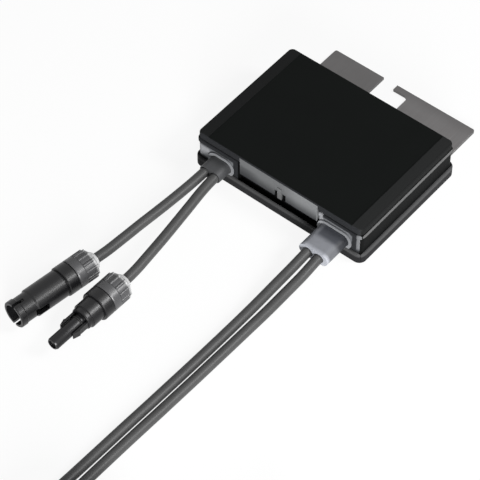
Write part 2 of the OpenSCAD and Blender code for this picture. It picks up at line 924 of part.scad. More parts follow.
// Body inside the nut, neck through its end and a tapered lip behind it, flared for the lead
module cable_seal() {
    bore_r = cable_d / 2 + cable_gap;
    lip_s = nut_s - fit;
    rotate_extrude()
        polygon([[bore_r + seal_flare, lip_s - lip_l], [bore_r + seal_flare + 0.6, lip_s - lip_l],
                 [nut_d / 2 - 2.4, lip_s], [seal_neck_r, lip_s], [seal_neck_r, nut_back + fit],
                 [nut_bore_r - fit, nut_back + fit], [nut_bore_r - fit, spigot_s - fit],
                 [bore_r, spigot_s - fit], [bore_r, nut_s]]);
}

// Spigot, collar and waist that both kinds of connector share
module shell_rear(end_s) {
    rotate_extrude()
        polygon([[0, spigot_s], [spigot_r, spigot_s], [spigot_r, shell_s], [collar_d / 2 - 0.5, shell_s],
                 [collar_d / 2, shell_s + 0.5], [collar_d / 2, waist_s - 0.5],
                 [collar_d / 2 - 0.5, waist_s], [waist_d / 2, waist_s], [waist_d / 2, end_s], [0, end_s]]);
}

module contact_bore(front_r) {
    translate([0, 0, spigot_s - 1])
        cylinder(r = barrel_r + fit, h = barrel_end + fit - spigot_s + 1);
    translate([0, 0, spigot_s])
        cylinder(r = front_r + fit, h = connector_l);
}

module hood_shell() {
    r = hood_d / 2;
    hood_from = waist_s + 1.4;
    difference() {
        union() {
            shell_rear(hood_from + 1);
            rotate_extrude()
                polygon([[0, hood_from - 0.6], [waist_d / 2, hood_from - 0.6], [r, hood_from],
                         [r, connector_l - 13], [r - 0.8, connector_l - 12],
                         [r - 0.8, connector_l - 4.6], [r - 0.3, connector_l - 4],
                         [r - 0.3, connector_l - 0.4], [r - 0.7, connector_l], [0, connector_l]]);
        }
        contact_bore(pin_d / 2);
        translate([0, 0, hood_s])
            cylinder(d = hood_bore, h = hood_depth + 1);
        translate([0, 0, hood_s + 8])
            cube([2 * hood_d, latch_w + 0.6, 9], center = true);
        translate([0, 0, connector_l])
            cube([2, 2 * hood_d, 16], center = true);
    }
}

module nose_shell() {
    arm_s = nose_s - 4;
    shoulder_r = waist_d / 2 - 0.9;
    difference() {
        union() {
            shell_rear(nose_s - 1.8);
            rotate_extrude()
                polygon([[0, nose_s - 2], [waist_d / 2, nose_s - 2], [shoulder_r, nose_s - 1.4],
                         [shoulder_r, nose_s + 0.8], [shoulder_r - 0.6, nose_s + 1.4],
                         [nose_d / 2, nose_s + 1.4], [nose_d / 2, ring_s - 0.7],
                         [nose_d / 2 - 0.8, ring_s - 0.7], [nose_d / 2 - 0.8, ring_s + 0.7],
                         [nose_d / 2, ring_s + 0.7],
                         [nose_d / 2, connector_l - 1], [nose_d / 2 - 0.6, connector_l], [0, connector_l]]);
            for (a = [0, 180])
                rotate([90, 0, a])
                    linear_extrude(latch_w, center = true)
                        polygon([[arm_r - latch_t - 1.6, arm_s], [arm_r, arm_s],
                                 [arm_r, arm_s + latch_l - 5], [arm_r + 0.5, arm_s + latch_l - 4.4],
                                 [arm_r - 0.8, arm_s + latch_l], [arm_r - latch_t, arm_s + latch_l],
                                 [arm_r - latch_t, nose_s - 2]]);
        }
        contact_bore(pin_d / 2 + socket_wall);
    }
}

// Crimp barrel on the end of a lead
module barrel() {
    translate([0, 0, barrel_s])
        cylinder(r = barrel_r, h = barrel_end - barrel_s);
}

module pin_contact() {
    r = pin_d / 2;
    barrel();
    rotate_extrude()
        polygon([[0, barrel_end - 1], [r, barrel_end - 1], [r, contact_end - 1.5],
                 [r * 0.5, contact_end], [0, contact_end]]);
}

module socket_contact() {
    barrel();
    difference() {
        translate([0, 0, barrel_end - 1])
            cylinder(r = pin_d / 2 + socket_wall, h = socket_end - barrel_end + 1);
        translate([0, 0, nose_s])
            cylinder(d = pin_d, h = nose_l);
    }
}

module nose_ring() {
    translate([0, 0, ring_s])
        rotate_extrude()
            translate([nose_d / 2 - 0.8 + fit / 2 + ring_r, 0])
                circle(ring_r);
}

module in_hood_shell() { color(black) lay(in_hood_at, in_hood_turn) hood_shell(); }
module in_hood_nut() { color(dark) lay(in_hood_at, in_hood_turn) cap_nut(); }
module in_hood_seal() { color("dimgray") lay(in_hood_at, in_hood_turn) cable_seal(); }
module in_hood_pin() { color(tin) lay(in_hood_at, in_hood_turn) pin_contact(); }
module in_nose_shell() { color(black) lay(in_nose_at, in_nose_turn) nose_shell(); }
module in_nose_nut() { color(dark) lay(in_nose_at, in_nose_turn) cap_nut(); }
module in_nose_seal() { color("dimgray") lay(in_nose_at, in_nose_turn) cable_seal(); }
module in_nose_socket() { color(tin) lay(in_nose_at, in_nose_turn) socket_contact(); }
module in_nose_ring() { color("black") lay(in_nose_at, in_nose_turn) nose_ring(); }
module out_hood_shell() { color(black) lay(out_hood_at, out_turn) hood_shell(); }
module out_hood_nut() { color(dark) lay(out_hood_at, out_turn) cap_nut(); }
module out_hood_seal() { color("dimgray") lay(out_hood_at, out_turn) cable_seal(); }
module out_hood_pin() { color(tin) lay(out_hood_at, out_turn) pin_contact(); }
module out_nose_shell() { color(black) lay(out_nose_at, out_turn) nose_shell(); }
module out_nose_nut() { color(dark) lay(out_nose_at, out_turn) cap_nut(); }
module out_nose_seal() { color("dimgray") lay(out_nose_at, out_turn) cable_seal(); }
module out_nose_socket() { color(tin) lay(out_nose_at, out_turn) socket_contact(); }
module out_nose_ring() { color("black") lay(out_nose_at, out_turn) nose_ring(); }

base_tray();
housing_frame();
top_cover();
cover_gasket();
housing_screws();
mounting_bracket();
bracket_screws();
circuit_board();
board_screws();
thermal_pad();
inductor_core();
inductor_winding();
film_capacitors();
bulk_capacitors();
power_transistors();
control_chip();
line_transformer();
input_terminals();
output_terminals();
input_gland();
output_gland();
lead(in_left_route);  // input_lead_left
lead(in_right_route);  // input_lead_right
lead(out_left_route);  // output_lead_left
lead(out_right_route);  // output_lead_right
lead(left_tail_route);  // output_tail_left
lead(right_tail_route);  // output_tail_right
lead_coil_outer();
lead_coil_inner();
coil_ties();
in_hood_shell();
in_hood_nut();
in_hood_seal();
in_hood_pin();
in_nose_shell();
in_nose_nut();
in_nose_seal();
in_nose_socket();
in_nose_ring();
out_hood_shell();
out_hood_nut();
out_hood_seal();
out_hood_pin();
out_nose_shell();
out_nose_nut();
out_nose_seal();
out_nose_socket();
out_nose_ring();
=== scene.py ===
"""Finishes, leads and studio for a DC power optimizer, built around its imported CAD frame."""

import json
import math

import bmesh
import bpy
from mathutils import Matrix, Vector


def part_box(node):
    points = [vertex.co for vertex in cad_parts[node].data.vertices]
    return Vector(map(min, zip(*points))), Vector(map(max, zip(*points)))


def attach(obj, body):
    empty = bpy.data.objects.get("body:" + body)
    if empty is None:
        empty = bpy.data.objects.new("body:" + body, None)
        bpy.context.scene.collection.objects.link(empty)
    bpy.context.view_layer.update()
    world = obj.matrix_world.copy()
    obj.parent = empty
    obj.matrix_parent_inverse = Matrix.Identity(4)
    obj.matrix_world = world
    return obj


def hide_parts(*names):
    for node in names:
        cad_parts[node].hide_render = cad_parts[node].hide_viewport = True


bl_info = {
    "name": "Power optimizer dressing",
    "version": (1, 0, 0),
    "blender": (4, 5, 0),
    "location": "View3D > Sidebar > Optimizer",
    "description": "Finishes, leads and studio for the packed power optimizer",
    "category": "Object",
}

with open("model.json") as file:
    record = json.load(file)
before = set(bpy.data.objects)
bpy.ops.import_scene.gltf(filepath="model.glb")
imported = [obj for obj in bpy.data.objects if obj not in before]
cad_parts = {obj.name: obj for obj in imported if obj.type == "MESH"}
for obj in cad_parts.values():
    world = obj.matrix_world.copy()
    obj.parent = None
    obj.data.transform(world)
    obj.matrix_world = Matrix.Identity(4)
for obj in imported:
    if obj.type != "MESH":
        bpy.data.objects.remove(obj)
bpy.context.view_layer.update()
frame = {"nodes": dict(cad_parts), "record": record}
NODES = frame["nodes"]
MM = 0.001

# Lead routes, from the board terminal outwards, in metres
INPUT_LEFT = [
    (-0.04695, -0.0355, 0.0122), (-0.04695, -0.046, 0.0122), (-0.04695, -0.058, 0.0122),
    (-0.0472, -0.070, 0.0121), (-0.0481, -0.083, 0.0116), (-0.0494, -0.097, 0.011),
    (-0.0509, -0.111, 0.0104), (-0.0522, -0.126, 0.0099), (-0.0534, -0.1392, 0.0096),
    (-0.0548, -0.1491, 0.0096), (-0.05675, -0.16296, 0.0096),
]
INPUT_RIGHT = [
    (-0.03945, -0.0355, 0.0122), (-0.03945, -0.046, 0.0122), (-0.03945, -0.058, 0.0122),
    (-0.0385, -0.070, 0.0121), (-0.0369, -0.083, 0.0116), (-0.0352, -0.097, 0.011),
    (-0.0336, -0.111, 0.0104), (-0.0321, -0.126, 0.0099), (-0.0309, -0.139, 0.0096),
    (-0.0306, -0.1501, 0.0096), (-0.03089, -0.1641, 0.0096),
]
OUTPUT_LEFT = [
    (0.0392, -0.0355, 0.0122), (0.0392, -0.052, 0.0122), (0.0392, -0.0675, 0.0122),
    (0.0391, -0.082, 0.011), (0.0382, -0.096, 0.0085), (0.0372, -0.112, 0.0056),
    (0.0364, -0.128, 0.0038), (0.0360, -0.142, 0.0032), (0.0358, -0.158, 0.0032),
    (0.0355, -0.174, 0.0032), (0.0351, -0.190, 0.0032), (0.0347, -0.206, 0.0032),
    (0.0342, -0.222, 0.0032), (0.0338, -0.238, 0.0032), (0.0334, -0.254, 0.0032),
    (0.0331, -0.268, 0.0034), (0.0330, -0.281, 0.0042), (0.0330, -0.290, 0.0046),
    (0.0330, -0.296, 0.0046), (0.0330, -0.307, 0.0046),
]
OUTPUT_RIGHT = [
    (0.0472, -0.0355, 0.0122), (0.0472, -0.052, 0.0122), (0.0472, -0.0675, 0.0122),
    (0.0475, -0.082, 0.011), (0.0466, -0.096, 0.0085), (0.0454, -0.112, 0.0056),
    (0.0443, -0.128, 0.0038), (0.0438, -0.142, 0.0032), (0.0435, -0.158, 0.0032),
    (0.0432, -0.174, 0.0032), (0.0428, -0.190, 0.0032), (0.0424, -0.206, 0.0032),
    (0.0419, -0.222, 0.0032), (0.0415, -0.238, 0.0032), (0.0412, -0.254, 0.0032),
    (0.0410, -0.268, 0.0032), (0.0410, -0.282, 0.0033), (0.0410, -0.292, 0.0036),
    (0.0410, -0.298, 0.0036), (0.0410, -0.308, 0.0036),
]
LEFT_TAIL = [
    (0.080, -0.354, 0.019225), (0.091, -0.354, 0.019225), (0.0962, -0.354, 0.019225),
    (0.1082, -0.3518, 0.0179), (0.1207, -0.3462, 0.0153), (0.1322, -0.3366, 0.0127),
    (0.141, -0.323, 0.0108), (0.1462, -0.3065, 0.0099), (0.1478, -0.286, 0.0096),
    (0.1478, -0.272, 0.0096),
]
RIGHT_TAIL = [
    (0.080, -0.346, 0.025725), (0.090, -0.346, 0.025725), (0.099, -0.346, 0.025725),
    (0.102, -0.346, 0.025725), (0.1106, -0.3445, 0.0242), (0.1182, -0.3401, 0.0206),
    (0.1238, -0.3334, 0.0166), (0.1268, -0.3252, 0.0132), (0.1272, -0.312, 0.0103),
    (0.1272, -0.298, 0.0096), (0.1272, -0.284, 0.0096),
]

# The route that ends in each connector
PLUG_LEADS = {
    "in_hood": INPUT_LEFT, "in_nose": INPUT_RIGHT, "out_hood": LEFT_TAIL, "out_nose": RIGHT_TAIL,
}

# Where the leads leave the glands
INPUT_EXIT = -0.057
OUTPUT_EXIT = -0.065

# The coil's middle, rise in a turn and lowest height, and the share of a turn that climbs to it
COIL_MIDDLE = (0.069, -0.318)
COIL_PITCH = 0.0065
COIL_START = 0.0046
COIL_CLIMB = 0.25

# Steps in a span of a smooth line, and in a turn of the coil
SMOOTH_STEPS = 24

# Where the housing's finishes change, in metres
FRONT = -0.0449
ARCH_FRONT = -0.0463
APRON_HALF = 0.0296
APRON_TOP = 0.0268
WALL_HALF = (0.0624, 0.0456)
RIM_HALF = (0.0626, 0.0458)

# How far a moulded skin's grain and handling marks change its roughness
GRAIN_SPREAD = 0.1
MARKS_SPREAD = 0.12

# Merging and rounding of the CAD meshes
WELD = 2e-6
FLAT = math.radians(0.5)
ROUNDED_FROM = math.radians(32)
SHARP_FROM = math.radians(34)

# Small sizes of the screws and ties, in metres
DRIVE_OVERRUN = 0.0005
TOOTH_RISE = 0.0003
HEAD_OVERHANG = 0.0018

# The floor lies just under the straps, and shows as nearly plain white
FLOOR_Z = -0.0002
FLOOR_HALF = 3.0
FLOOR_WHITE = 0.9


class Value:
    """A number in a node tree: arithmetic on it adds Math nodes to its graph."""

    def __init__(self, graph, socket):
        self.graph = graph
        self.socket = socket

    def _math(self, operation, *terms):
        return self.graph.value("ShaderNodeMath", {"operation": operation}, dict(enumerate(terms)))

    def __add__(self, other):
        return self._math("ADD", self, other)

    def __radd__(self, other):
        return self._math("ADD", other, self)

    def __sub__(self, other):
        return self._math("SUBTRACT", self, other)

    def __rsub__(self, other):
        return self._math("SUBTRACT", other, self)

    def __mul__(self, other):
        return self._math("MULTIPLY", self, other)

    def __rmul__(self, other):
        return self._math("MULTIPLY", other, self)

    def __abs__(self):
        return self._math("ABSOLUTE", self)

    def either(self, other):
        """The larger of two masks."""
        return self._math("MAXIMUM", self, other)

    def __gt__(self, other):
        return self._math("GREATER_THAN", self, other)

    def __lt__(self, other):
        return self._math("LESS_THAN", self, other)

    def clamped(self):
        """The same number held between 0 and 1."""
        return self.graph.value("ShaderNodeClamp", None, {"Value": self})

    def step(self, low, high):
        """Rises smoothly from 0 at low to 1 at high."""
        return self.graph.value(
            "ShaderNodeMapRange",
            {"interpolation_type": "SMOOTHSTEP"},
            {"Value": self, "From Min": low, "From Max": high},
        )

    def between(self, low, high, soft=0.0004):
        """1 from low to high, with soft edges."""
        return self.step(low - soft, low + soft) * (1 - self.step(high - soft, high + soft))


class Graph:
    """A node tree in the making."""

    def __init__(self, tree):
        self.tree = tree
        tree.nodes.clear()

    def node(self, kind, settings=None, inputs=None):
        """Adds a node: its settings first, then the values or links of its sockets."""
        made = self.tree.nodes.new(kind)
        for key, setting in (settings or {}).items():
            setattr(made, key, setting)
        for key, given in (inputs or {}).items():
            self.feed(made, key, given)
        return made

    def feed(self, node, key, given):
        """Sets or links one input, found by its place, name or identifier."""
        if isinstance(key, int):
            socket = node.inputs[key]
        else:
            socket = next(s for s in node.inputs if key in (s.identifier, s.name))
        for one in given if isinstance(given, list) else [given]:
            one = one.socket if isinstance(one, Value) else one
            if isinstance(one, bpy.types.NodeSocket):
                self.tree.links.new(one, socket)
            else:
                socket.default_value = one

    def value(self, kind, settings=None, inputs=None):
        """Adds a node whose first output is a number."""
        return Value(self, self.node(kind, settings, inputs).outputs[0])


class Finish(Graph):
    """A material in the making: one principled shader and the nodes that vary it."""

    def __init__(self, name):
        self.material = bpy.data.materials.new(name)
        self.material.use_nodes = True
        super().__init__(self.material.node_tree)
        self.shader = self.node("ShaderNodeBsdfPrincipled")
        self.node("ShaderNodeOutputMaterial", None, {"Surface": self.shader.outputs[0]})
        self.place = self.node("ShaderNodeTexCoord").outputs["Object"]
        axes = self.node("ShaderNodeSeparateXYZ", None, {"Vector": self.place})
        self.x, self.y, self.z = (Value(self, out) for out in axes.outputs)

    def set(self, **sockets):
        """Shader inputs by name, with spaces written as underscores."""
        for key, given in sockets.items():
            self.feed(self.shader, key.replace("_", " "), given)
        return self

    def noise(self, size_mm, detail=2.0):
        """Even noise whose features are about size_mm across."""
        return self.noise_over(self.place, 1.0 / (size_mm * MM), detail)

    def streaks(self, scales, detail):
        """Noise with a scale of its own along each axis."""
        scaled = self.node(
            "ShaderNodeVectorMath", {"operation": "MULTIPLY"}, {0: self.place, 1: scales}
        )
        return self.noise_over(scaled.outputs[0], 1.0, detail)

    def noise_over(self, place, scale, detail):
        """Noise over these coordinates."""
        inputs = {"Vector": place, "Scale": scale, "Detail": detail}
        return self.value("ShaderNodeTexNoise", None, inputs)

    def beyond(self, half_x, half_y):
        """1 outside the upright box of these half sizes."""
        return (abs(self.x) > half_x).either(abs(self.y) > half_y)

    def mix(self, amount, low, high):
        """Colour that goes from low to high with amount."""
        node = self.node(
            "ShaderNodeMix",
            {"data_type": "RGBA"},
            {"Factor_Float": amount, "A_Color": rgba(low), "B_Color": rgba(high)},
        )
        return next(s for s in node.outputs if s.identifier == "Result_Color")

    def blotched(self, colour, size_mm, tone):
        """The colour, a little darker and lighter in soft blotches."""
        return self.mix(self.noise(size_mm, 4.0), shade(colour, 1 - tone), shade(colour, 1 + tone))

    def bump(self, height, depth_mm, strength=0.5):
        """Normals of a grain that is depth_mm deep."""
        node = self.node(
            "ShaderNodeBump",
            None,
            {"Strength": strength, "Distance": depth_mm * MM, "Height": height},
        )
        return node.outputs[0]


def rgba(colour):
    """Adds the alpha that a colour socket needs; links pass through."""
    return colour if isinstance(colour, bpy.types.NodeSocket) else (*colour[:3], 1.0)


def shade(colour, factor):
    """The colour made darker or lighter."""
    return tuple(channel * factor for channel in colour[:3])


def textured(finish, base, roughness, specular, grain_mm=0.45, depth_mm=0.03, marks_mm=26):
    """Feeds a base colour into a spark-textured skin with faint handling marks."""
    grain = finish.noise(grain_mm)
    marks = finish.noise(marks_mm, 4.0)
    least = roughness - (GRAIN_SPREAD + MARKS_SPREAD) / 2
    return finish.set(
        Base_Color=base,
        Roughness=least + grain * GRAIN_SPREAD + marks * MARKS_SPREAD,
        Specular_IOR_Level=specular,
        Normal=finish.bump(grain, depth_mm),
    )


def moulded(name, colour, roughness, specular=0.3, grain_mm=0.5, depth_mm=0.03):
    """Spark-textured plastic of one colour."""
    finish = Finish(name)
    base = finish.blotched(colour, 22, 0.18)
    return textured(finish, base, roughness, specular, grain_mm, depth_mm, marks_mm=22)


def cover_plastic(colours):
    """Cover: dull sunk panel and lighter borders, with painted light: a paler front, a pale apron
    painted brighter to the right and shaded low and to the left, painted highlights at its end and
    below the seam, and a border painted lighter on the right.
    """
    finish = Finish("cover_plastic")
    x, y, z = finish.x, finish.y, finish.z
    border, apron = colours.cover_border, colours.apron
    front = y < FRONT
    # Painted light: the apron is painted pale for the light and reflection on its face.
    on_apron = front * (z < APRON_TOP) * (abs(x) < APRON_HALF)
    # Painted highlight on the apron's right end.
    ends = (y < -0.0425) * (z < APRON_TOP) * x.between(0.0289, APRON_HALF, 0.0001)
    # Painted shade towards the apron's bottom and at its lower left.
    low_left = (1 - x.step(-0.024, -0.012)) * (1 - z.step(0.0195, 0.0228))
    lit = (0.18 + 0.82 * z.step(0.0125, 0.0225)) * (1 - 0.4 * low_left)
    # Painted highlight on the cover's outer faces below the seam, in the bead colour.
    seam = finish.beyond(*WALL_HALF) * (z < 0.0243)
    # Painted light: the border is painted lighter right of the middle and darker to the left.
    right = x.between(0.0, 0.0612)
    border = finish.mix(right, shade(border, 0.78), shade(border, 1.3))
    top = finish.blotched(colours.cover, 26, 0.15)
    top = finish.mix(abs(x).step(0.0540, 0.0549), top, border)
    # Painted light: the cover's front painted paler than its top.
    top = finish.mix(front, top, colours.skirt)
    top = finish.mix(seam, top, colours.bead)
    # Painted light: the apron painted brighter towards the right.
    apron = finish.mix(x.step(0.002, 0.016), apron, shade(apron, 1.45))
    return textured(finish, finish.mix((on_apron * lit).either(ends), top, apron), 0.62, 0.03)


def wall_plastic(colours):
    """Housing walls: dark sides; painted light on the front, paler round the glands and on the
    arches, with painted highlights on the corners, beside the apron and on the bead, and painted
    shadow beside the arches.
    """
    finish = Finish("wall_plastic")
    x, y, z = finish.x, finish.y, finish.z
    pale = shade(colours.corner, 1.9)
    # Painted light: the front is painted paler than the sides, palest round the glands and over the
    # output gland.
    front = (y < FRONT) * (z > 0.0075)
    # Painted shadow beside the gland arches, where the front keeps the darker skirt colour.
    shadow = x.between(-0.0345, -0.029).either(x.between(0.0555, 0.0588))
    round_glands = z.between(0.0098, 0.0192, 0.0016) * (1 - shadow)
    over_output = x.between(0.034, 0.0545) * z.between(0.0150, 0.0212, 0.0005)
    # Painted highlights beside the apron and on the front corners.
    beside_apron = x.between(0.0284, 0.0342) * z.between(0.006, 0.0262) * (y < -0.0420)
    left_corner = (1 - x.step(-0.0540, -0.0515)) * z.between(0.010, 0.0178, 0.0012)
    right_corner = x.step(0.0588, 0.0596) * z.between(0.0115, 0.0237, 0.001)
    # Painted highlight on the bead under the seam.
    bead = finish.beyond(*WALL_HALF) * z.between(0.0212, 0.0245, 0.0003)
    face = finish.mix(round_glands.either(over_output), colours.skirt, colours.front)
    face = finish.mix(right_corner, face, colours.corner)
    face = finish.mix(left_corner, face, pale)
    base = finish.mix(front, finish.blotched(colours.wall, 18, 0.2), face)
    base = finish.mix(beside_apron, base, pale)
    # Painted light on the arches round the glands, with a painted highlight on the output arch's
    # left leg.
    arch = finish.mix(x.between(0.028, 0.0345), colours.arch, pale)
    base = finish.mix(y < ARCH_FRONT, base, arch)
    return textured(finish, finish.mix(bead * (1 - front), base, colours.bead), 0.5, 0.02)


def base_plastic(colours):
    """Base: dark rim with a painted highlight along its upper edge and painted shade inside the rim
    line.
    """
    finish = Finish("base_plastic")
    outside = finish.beyond(*RIM_HALF)
    # Painted highlight along the upper edge of the base rim.
    ledge_highlight = outside * finish.z.step(0.0044, 0.0060)
    rim = finish.blotched(colours.base, 18, 0.2)
    # Painted shade inside the rim line, in the groove under the apron.
    rim = finish.mix(outside, shade(colours.base, 0.25), rim)
    return textured(finish, finish.mix(ledge_highlight, rim, colours.ledge_highlight), 0.5, 0.04)


def cap_nut(name, colours, rear, ahead):
    """Connector nut: moulded plastic, paler at the end that the lead comes out of."""
    finish = Finish(name)
    way = (Vector(ahead) - Vector(rear)).normalized()
    along = (finish.x - rear[0]) * way.x + (finish.y - rear[1]) * way.y
    pale_rear = 1 - along.step(0.0034, 0.0048)
    base = finish.mix(pale_rear, finish.blotched(colours.nut, 22, 0.18), shade(colours.seal, 0.5))
    return textured(finish, base, 0.34, 0.4, 0.5, 0.012)


def light_gland(colours):
    """Output gland: sleeve painted pale for the glare on it, with a painted highlight on its lip
    and painted shade on its right flank and where it runs into the wall.
    """
    finish = Finish("light_gland")
    # Painted reflection: the sleeve is painted pale for the glare on it.
    pale = colours.output_gland
    # Painted shade where the gland runs into the wall and on its right flank.
    root = finish.y.step(-0.0580, -0.0535) * finish.x.step(0.0350, 0.0385)
    flank = finish.x.step(0.0490, 0.0525)
    # Painted highlight on the gland's front lip.
    lip = 1 - finish.y.step(-0.0662, -0.0630)
    sleeve = finish.mix(flank, finish.blotched(pale, 5, 0.18), shade(pale, 0.52))
    sleeve = finish.mix(lip, sleeve, shade(pale, 1.8))
    shadow = finish.mix(flank, colours.gland_root, shade(colours.gland_root, 0.4))
    return textured(finish, finish.mix(root, sleeve, shadow), 0.5, 0.25)


def brushed_steel(colour, tab_end):
    """Rolled plate, brushed towards the slot, with painted shade towards its outer edge and on the
    left.
    """
    finish = Finish("brushed_plate")
    streak = finish.streaks((1500, 26, 1500), 3.0)
    cloud = finish.noise(14, 3.0)
    # Painted shade towards the plate's outer edge and on its left half.
    edge = finish.y.step(tab_end - 0.010, tab_end)
    left = 1 - finish.x.step(-0.012, 0.012)
    tone = (streak * 0.55 + cloud * 0.45).clamped()
    plate = finish.mix(tone, shade(colour, 0.72), shade(colour, 1.28))
    return finish.set(
        Base_Color=finish.mix((edge * 0.35).either(left * 0.4), plate, shade(colour, 0.5)),
        Metallic=1.0,
        Roughness=0.36 + streak * 0.16,
        Normal=finish.bump(streak, 0.02, 0.35),
    )


def plated(name, colour, roughness=0.3):
    """Small plated hardware with a faint tumble texture."""
    finish = Finish(name)
    tumble = finish.noise(0.8, 3.0)
    return finish.set(
        Base_Color=finish.mix(tumble, shade(colour, 0.82), shade(colour, 1.12)),
        Metallic=1.0,
        Roughness=roughness - 0.06 + tumble * 0.14,
        Normal=finish.bump(tumble, 0.01, 0.3),
    )


def sheath(colour):
    """Extruded lead sheath: satin skin, fine grain and faint dust."""
    finish = Finish("lead_sheath")
    drawn = finish.noise(0.5, 2.0)
    dust = finish.noise(9, 4.0)
    return finish.set(
        Base_Color=finish.mix(dust, shade(colour, 0.8), shade(colour, 1.22)),
        Roughness=0.32 + drawn * 0.1 + dust * 0.1,
        Specular_IOR_Level=0.2,
        Normal=finish.bump(drawn, 0.015, 0.4),
    )


def soft_rubber(name, colour):
    """Matt rubber with fine pores."""
    finish = Finish(name)
    pores = finish.noise(0.3, 3.0)
    return finish.set(
        Base_Color=finish.mix(pores, shade(colour, 0.8), shade(colour, 1.2)),
        Roughness=0.68 + pores * 0.15,
        Specular_IOR_Level=0.3,
        Normal=finish.bump(pores, 0.02),
    )


def wound_copper(colour):
    """Enamelled wire, wound in level rows."""
    finish = Finish("wound_copper")
    rows = finish.value(
        "ShaderNodeTexWave",
        {"wave_type": "BANDS", "bands_direction": "Z"},
        {"Vector": finish.place, "Scale": 260.0, "Distortion": 0.4},
    )
    return finish.set(
        Base_Color=finish.mix(rows, shade(colour, 0.45), colour),
        Metallic=0.9,
        Roughness=0.42 - rows * 0.12,
        Normal=finish.bump(rows, 0.3),
    )


def board_mask(colour):
    """Solder mask over a grid of copper tracks."""
    finish = Finish("board_mask")
    lines = finish.value(
        "ShaderNodeTexBrick",
        {"offset": 0.5},
        {
            "Vector": finish.place,
            "Scale": 160.0,
            "Mortar Size": 0.03,
            "Color1": (0, 0, 0, 1),
            "Color2": (0.15, 0.15, 0.15, 1),
            "Mortar": (1, 1, 1, 1),
        },
    )
    return finish.set(
        Base_Color=finish.mix(lines, colour, shade(colour, 1.7)),
        Roughness=0.42 - lines * 0.1,
        Normal=finish.bump(lines, 0.05),
    )


class Growth(Graph):
    """A Geometry Nodes tree in the making, with named inputs for its sizes."""

    def __init__(self, name, sizes, counts=(), places=()):
        super().__init__(bpy.data.node_groups.new(name, "GeometryNodeTree"))
        face = self.tree.interface
        inputs = [("Geometry", "Geometry")]
        inputs += [(size, "Float") for size in sizes]
        inputs += [(count, "Int") for count in counts]
        inputs += [(place, "Vector") for place in places]
        for socket, kind in [*inputs, ("Finish", "Material")]:
            face.new_socket(socket, in_out="INPUT", socket_type="NodeSocket" + kind)
        face.new_socket("Geometry", in_out="OUTPUT", socket_type="NodeSocketGeometry")
        self.given = self.node("NodeGroupInput").outputs

    def made(self, kind, settings=None, inputs=None):
        """Adds a node and gives its first output."""
        return self.node(kind, settings, inputs).outputs[0]

    def vector(self, x=0.0, y=0.0, z=0.0):
        """A vector from numbers or links."""
        return self.made("ShaderNodeCombineXYZ", None, {"X": x, "Y": y, "Z": z})

    def vector_math(self, operation, *terms):
        """One step of arithmetic on vectors."""
        inputs = dict(enumerate(terms))
        return self.made("ShaderNodeVectorMath", {"operation": operation}, inputs)

    def half(self, size):
        """Half of a size."""
        return self.made("ShaderNodeMath", {"operation": "MULTIPLY"}, {0: size, 1: 0.5})

    def sum(self, first, second):
        """Two sizes together."""
        return self.made("ShaderNodeMath", {"operation": "ADD"}, {0: first, 1: second})

    def end(self, parts):
        """Joins the parts, realizes them and gives them their finish."""
        whole = self.made("GeometryNodeJoinGeometry", None, {"Geometry": parts})
        whole = self.made("GeometryNodeRealizeInstances", None, {"Geometry": whole})
        finish = {"Geometry": whole, "Material": self.given["Finish"]}
        self.node("NodeGroupOutput", None, {0: self.made("GeometryNodeSetMaterial", None, finish)})
        return self


def screw_growth():
    """A screw at each point: tapered head with a sunk drive, and its shank above."""
    growth = Growth(
        "screws",
        ["Seat Radius", "Face Radius", "Head Height", "Shank Radius", "Shank Length",
         "Drive Outer", "Drive Inner", "Drive Depth", "Turn"],
        counts=["Drive Points"],
    )
    given = growth.given
    head = growth.made(
        "GeometryNodeMeshCone",
        None,
        {"Vertices": 48, "Radius Top": given["Seat Radius"], "Radius Bottom": given["Face Radius"],
         "Depth": given["Head Height"]},
    )
    star = growth.made(
        "GeometryNodeCurveStar",
        None,
        {"Points": given["Drive Points"], "Inner Radius": given["Drive Inner"],
         "Outer Radius": given["Drive Outer"]},
    )
    line = growth.made(
        "GeometryNodeCurvePrimitiveLine",
        None,
        {"Start": (0.0, 0.0, -DRIVE_OVERRUN), "End": growth.vector(z=given["Drive Depth"])},
    )
    drive = growth.made(
        "GeometryNodeCurveToMesh", None, {"Curve": line, "Profile Curve": star, "Fill Caps": True}
    )
    head = growth.made(
        "GeometryNodeMeshBoolean", {"operation": "DIFFERENCE"}, {"Mesh 1": head, "Mesh 2": drive}
    )
    shank = growth.made(
        "GeometryNodeMeshCylinder",
        None,
        {"Vertices": 24, "Radius": given["Shank Radius"], "Depth": given["Shank Length"]},
    )
    rise = growth.sum(given["Head Height"], growth.half(given["Shank Length"]))
    shank = growth.made(
        "GeometryNodeTransform", None, {"Geometry": shank, "Translation": growth.vector(z=rise)}
    )
    screw = growth.made("GeometryNodeJoinGeometry", None, {"Geometry": [head, shank]})
    turn = growth.vector(x=given["Turn"])
    screws = growth.made(
        "GeometryNodeInstanceOnPoints",
        None,
        {"Points": given["Geometry"], "Instance": screw, "Rotation": turn},
    )
    return growth.end([screws])


